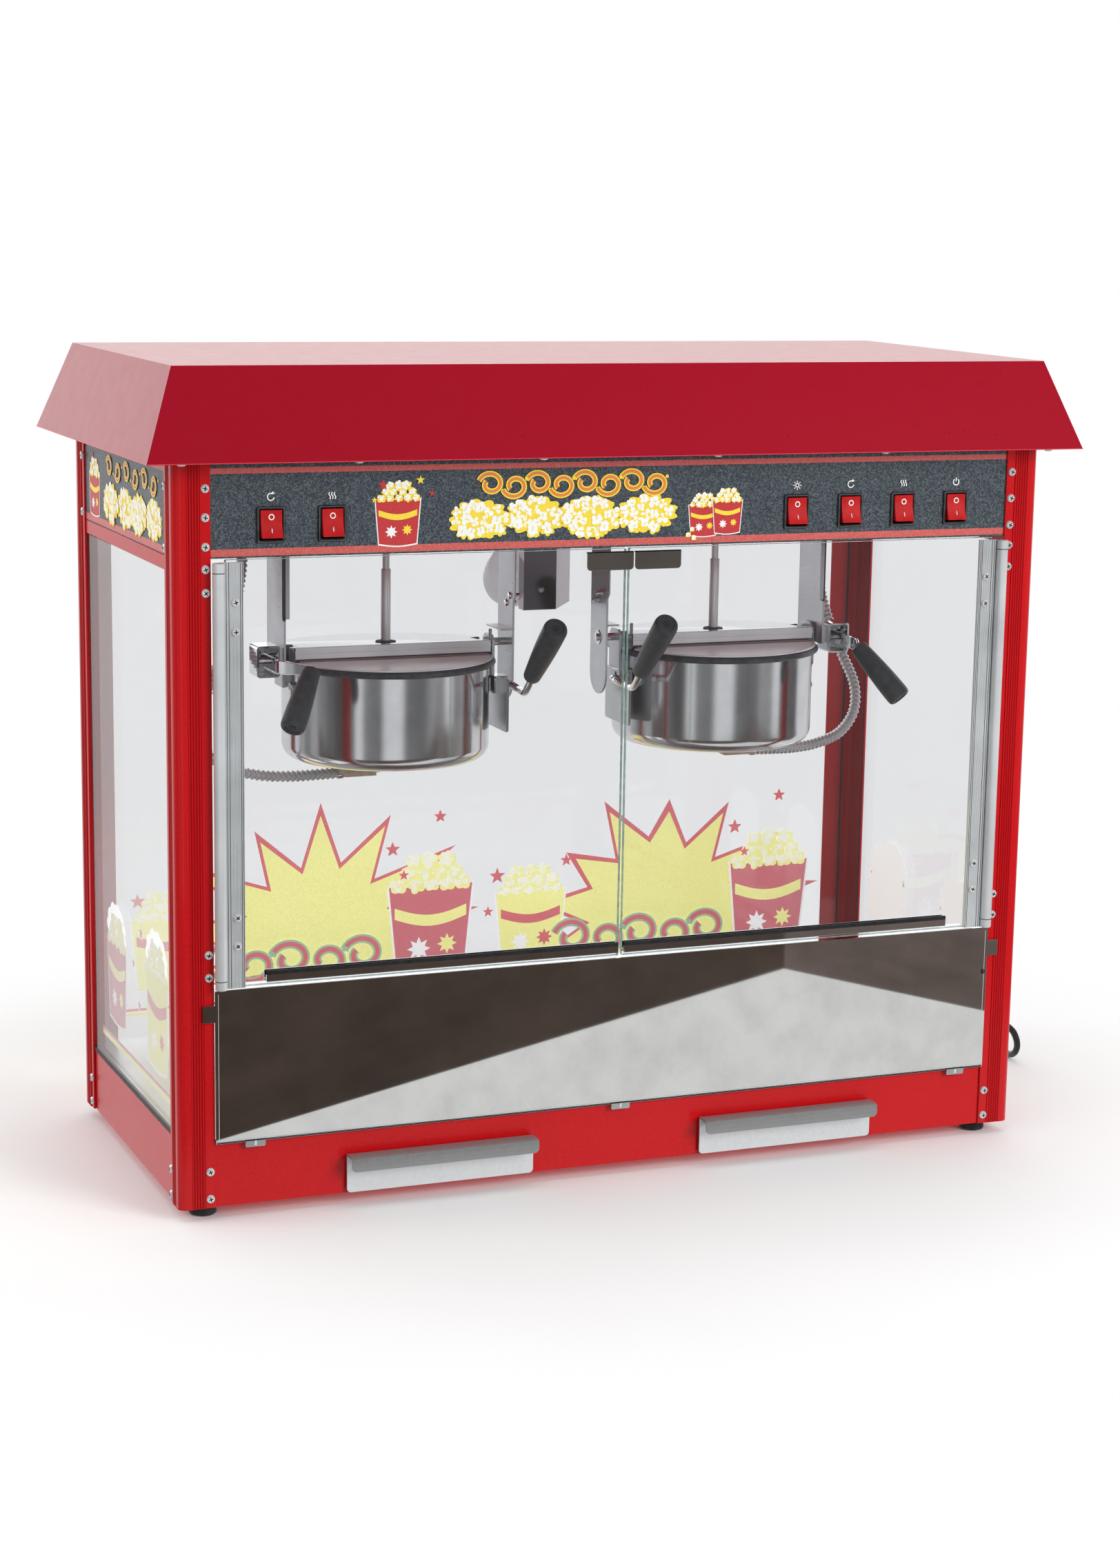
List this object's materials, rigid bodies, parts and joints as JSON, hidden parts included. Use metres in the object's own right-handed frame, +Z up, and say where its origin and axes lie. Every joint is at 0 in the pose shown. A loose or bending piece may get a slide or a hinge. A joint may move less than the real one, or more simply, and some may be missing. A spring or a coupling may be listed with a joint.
{
  "type": "popcorn maker",
  "caption": "Countertop popcorn cabinet with tilting kettles, a glazed chamber, hinged glass doors, rocker switches and pull-out kernel drawers.",
  "frame": {"origin": "on the standing surface, under the middle of the cabinet", "axes": "+Z up, -Y towards the operator and the doors, +X to the operator's right"},
  "size_m": [1.0492, 0.5465, 0.77],
  "materials": {
    "red_enamel": "semi-gloss powder coat",
    "fascia_slate": "fine speckled satin film",
    "black_rubber": "matt",
    "black_plastic": "fine grain",
    "mirror_steel": "mirror-polished stainless steel",
    "brushed_steel": "brushed",
    "zinc_plate": "bright zinc-plated sheet",
    "aluminium": "satin anodised",
    "clear_glass": "clear tempered",
    "lamp_glass": "clear",
    "red_plastic": "gloss, translucent red"
  },
  "bodies": {
    "cabinet": {"post_front_left": "red_enamel", "post_front_right": "red_enamel", "post_rear_left": "red_enamel", "post_rear_right": "red_enamel", "base_tray": "red_enamel", "base_front": "red_enamel", "foot_front_left": "black_rubber", "foot_front_right": "black_rubber", "foot_rear_left": "black_rubber", "foot_rear_right": "black_rubber", "deck": "brushed_steel", "sill_panel": "mirror_steel", "header_tray": "red_enamel", "header_fascia": "fascia_slate", "roof": "red_enamel", "stirrer_motor_left": "zinc_plate", "stirrer_motor_right": "zinc_plate", "lamp_shield": "mirror_steel", "lamp_bulb": "lamp_glass", "side_glass_left": "clear_glass", "side_glass_right": "clear_glass", "rear_glass": "clear_glass", "hanger_outer_left": "zinc_plate", "hanger_outer_right": "zinc_plate", "hanger_inner_left": "zinc_plate", "hanger_inner_right": "zinc_plate", "conduit_left": "brushed_steel", "conduit_right": "brushed_steel", "cord_gland": "black_plastic", "power_cord": "black_rubber", "power_cord_coil": "black_rubber", "power_plug": "black_plastic"},
    "door_left": {"door_glass_left": "clear_glass", "door_hinge_left": "aluminium"},
    "drawer_left": {"drawer_left": "brushed_steel"},
    "kettle_left": {"pot_left": "mirror_steel", "lid_rear_left": "mirror_steel", "crank_handle_left": "black_plastic"},
    "lid_flap_left": {"lid_flap_left": "mirror_steel"},
    "agitator_left": {"agitator_left": "brushed_steel"},
    "drive_left": {"drive_rod_left": "brushed_steel"},
    "sleeve_left": {"drive_sleeve_left": "brushed_steel"},
    "latch_left": {"latch_lever_left": "black_plastic"},
    "door_right": {"door_glass_right": "clear_glass", "door_hinge_right": "aluminium"},
    "drawer_right": {"drawer_right": "brushed_steel"},
    "kettle_right": {"pot_right": "mirror_steel", "lid_rear_right": "mirror_steel", "crank_handle_right": "black_plastic"},
    "lid_flap_right": {"lid_flap_right": "mirror_steel"},
    "agitator_right": {"agitator_right": "brushed_steel"},
    "drive_right": {"drive_rod_right": "brushed_steel"},
    "sleeve_right": {"drive_sleeve_right": "brushed_steel"},
    "latch_right": {"latch_lever_right": "black_plastic"},
    "switch_1": {"rocker_1": "red_plastic"},
    "switch_2": {"rocker_2": "red_plastic"},
    "switch_3": {"rocker_3": "red_plastic"},
    "switch_4": {"rocker_4": "red_plastic"},
    "switch_5": {"rocker_5": "red_plastic"},
    "switch_6": {"rocker_6": "red_plastic"}
  },
  "joints": [
    {"name": "door_left_hinge", "type": "hinge", "parent": "cabinet", "child": "door_left", "pos_m": [-0.389, -0.19, 0.4], "axis": [0, 0, -1], "range_deg": [0, 110]},
    {"name": "drawer_left_slide", "type": "slide", "parent": "cabinet", "child": "drawer_left", "axis": [0, -1, 0], "range_m": [0, 0.26]},
    {"name": "kettle_left_tilt", "type": "hinge", "parent": "cabinet", "child": "kettle_left", "pos_m": [-0.172, 0, 0.492], "axis": [1, 0, 0], "range_deg": [0, 78], "deforming": ["conduit_left"]},
    {"name": "lid_flap_left_hinge", "type": "hinge", "parent": "kettle_left", "child": "lid_flap_left", "pos_m": [-0.172, -0.0304, 0.4839], "axis": [-1, 0, 0], "range_deg": [0, 95]},
    {"name": "agitator_left_spin", "type": "hinge", "parent": "kettle_left", "child": "agitator_left", "pos_m": [-0.172, 0, 0.42], "axis": [0, 0, 1], "continuous": true},
    {"name": "drive_left_spin", "type": "hinge", "parent": "cabinet", "child": "drive_left", "pos_m": [-0.172, 0, 0.6], "axis": [0, 0, 1], "continuous": true},
    {"name": "sleeve_left_lift", "type": "slide", "parent": "drive_left", "child": "sleeve_left", "axis": [0, 0, 1], "range_m": [0, 0.0335]},
    {"name": "latch_left_lift", "type": "hinge", "parent": "cabinet", "child": "latch_left", "pos_m": [-0.2972, -0.02, 0.486], "axis": [-1, 0, 0], "range_deg": [0, 25]},
    {"name": "door_right_hinge", "type": "hinge", "parent": "cabinet", "child": "door_right", "pos_m": [0.389, -0.19, 0.4], "axis": [0, 0, 1], "range_deg": [0, 110]},
    {"name": "drawer_right_slide", "type": "slide", "parent": "cabinet", "child": "drawer_right", "axis": [0, -1, 0], "range_m": [0, 0.26]},
    {"name": "kettle_right_tilt", "type": "hinge", "parent": "cabinet", "child": "kettle_right", "pos_m": [0.172, 0, 0.492], "axis": [1, 0, 0], "range_deg": [0, 78], "deforming": ["conduit_right"]},
    {"name": "lid_flap_right_hinge", "type": "hinge", "parent": "kettle_right", "child": "lid_flap_right", "pos_m": [0.172, -0.0304, 0.4839], "axis": [-1, 0, 0], "range_deg": [0, 95]},
    {"name": "agitator_right_spin", "type": "hinge", "parent": "kettle_right", "child": "agitator_right", "pos_m": [0.172, 0, 0.42], "axis": [0, 0, 1], "continuous": true},
    {"name": "drive_right_spin", "type": "hinge", "parent": "cabinet", "child": "drive_right", "pos_m": [0.172, 0, 0.6], "axis": [0, 0, 1], "continuous": true},
    {"name": "sleeve_right_lift", "type": "slide", "parent": "drive_right", "child": "sleeve_right", "axis": [0, 0, 1], "range_m": [0, 0.0335]},
    {"name": "latch_right_lift", "type": "hinge", "parent": "cabinet", "child": "latch_right", "pos_m": [0.2972, -0.02, 0.486], "axis": [-1, 0, 0], "range_deg": [0, 25]},
    {"name": "switch_1_rock", "type": "hinge", "parent": "cabinet", "child": "switch_1", "pos_m": [-0.3393, -0.1817, 0.6316], "axis": [1, 0, 0], "range_deg": [0, 20]},
    {"name": "switch_2_rock", "type": "hinge", "parent": "cabinet", "child": "switch_2", "pos_m": [-0.2832, -0.1817, 0.6316], "axis": [1, 0, 0], "range_deg": [0, 20]},
    {"name": "switch_3_rock", "type": "hinge", "parent": "cabinet", "child": "switch_3", "pos_m": [0.171, -0.1817, 0.6316], "axis": [1, 0, 0], "range_deg": [0, 20]},
    {"name": "switch_4_rock", "type": "hinge", "parent": "cabinet", "child": "switch_4", "pos_m": [0.227, -0.1817, 0.6316], "axis": [1, 0, 0], "range_deg": [0, 20]},
    {"name": "switch_5_rock", "type": "hinge", "parent": "cabinet", "child": "switch_5", "pos_m": [0.283, -0.1817, 0.6316], "axis": [1, 0, 0], "range_deg": [0, 20]},
    {"name": "switch_6_rock", "type": "hinge", "parent": "cabinet", "child": "switch_6", "pos_m": [0.3393, -0.1817, 0.6316], "axis": [1, 0, 0], "range_deg": [0, 20]}
  ],
  "couplings": [
    {"joint": "agitator_left_spin", "follows": "drive_left_spin", "ratio": 1},
    {"joint": "sleeve_left_lift", "follows": "kettle_left_tilt", "m_per_rad": 0.024},
    {"joint": "agitator_right_spin", "follows": "drive_right_spin", "ratio": 1},
    {"joint": "sleeve_right_lift", "follows": "kettle_right_tilt", "m_per_rad": 0.024}
  ]
}
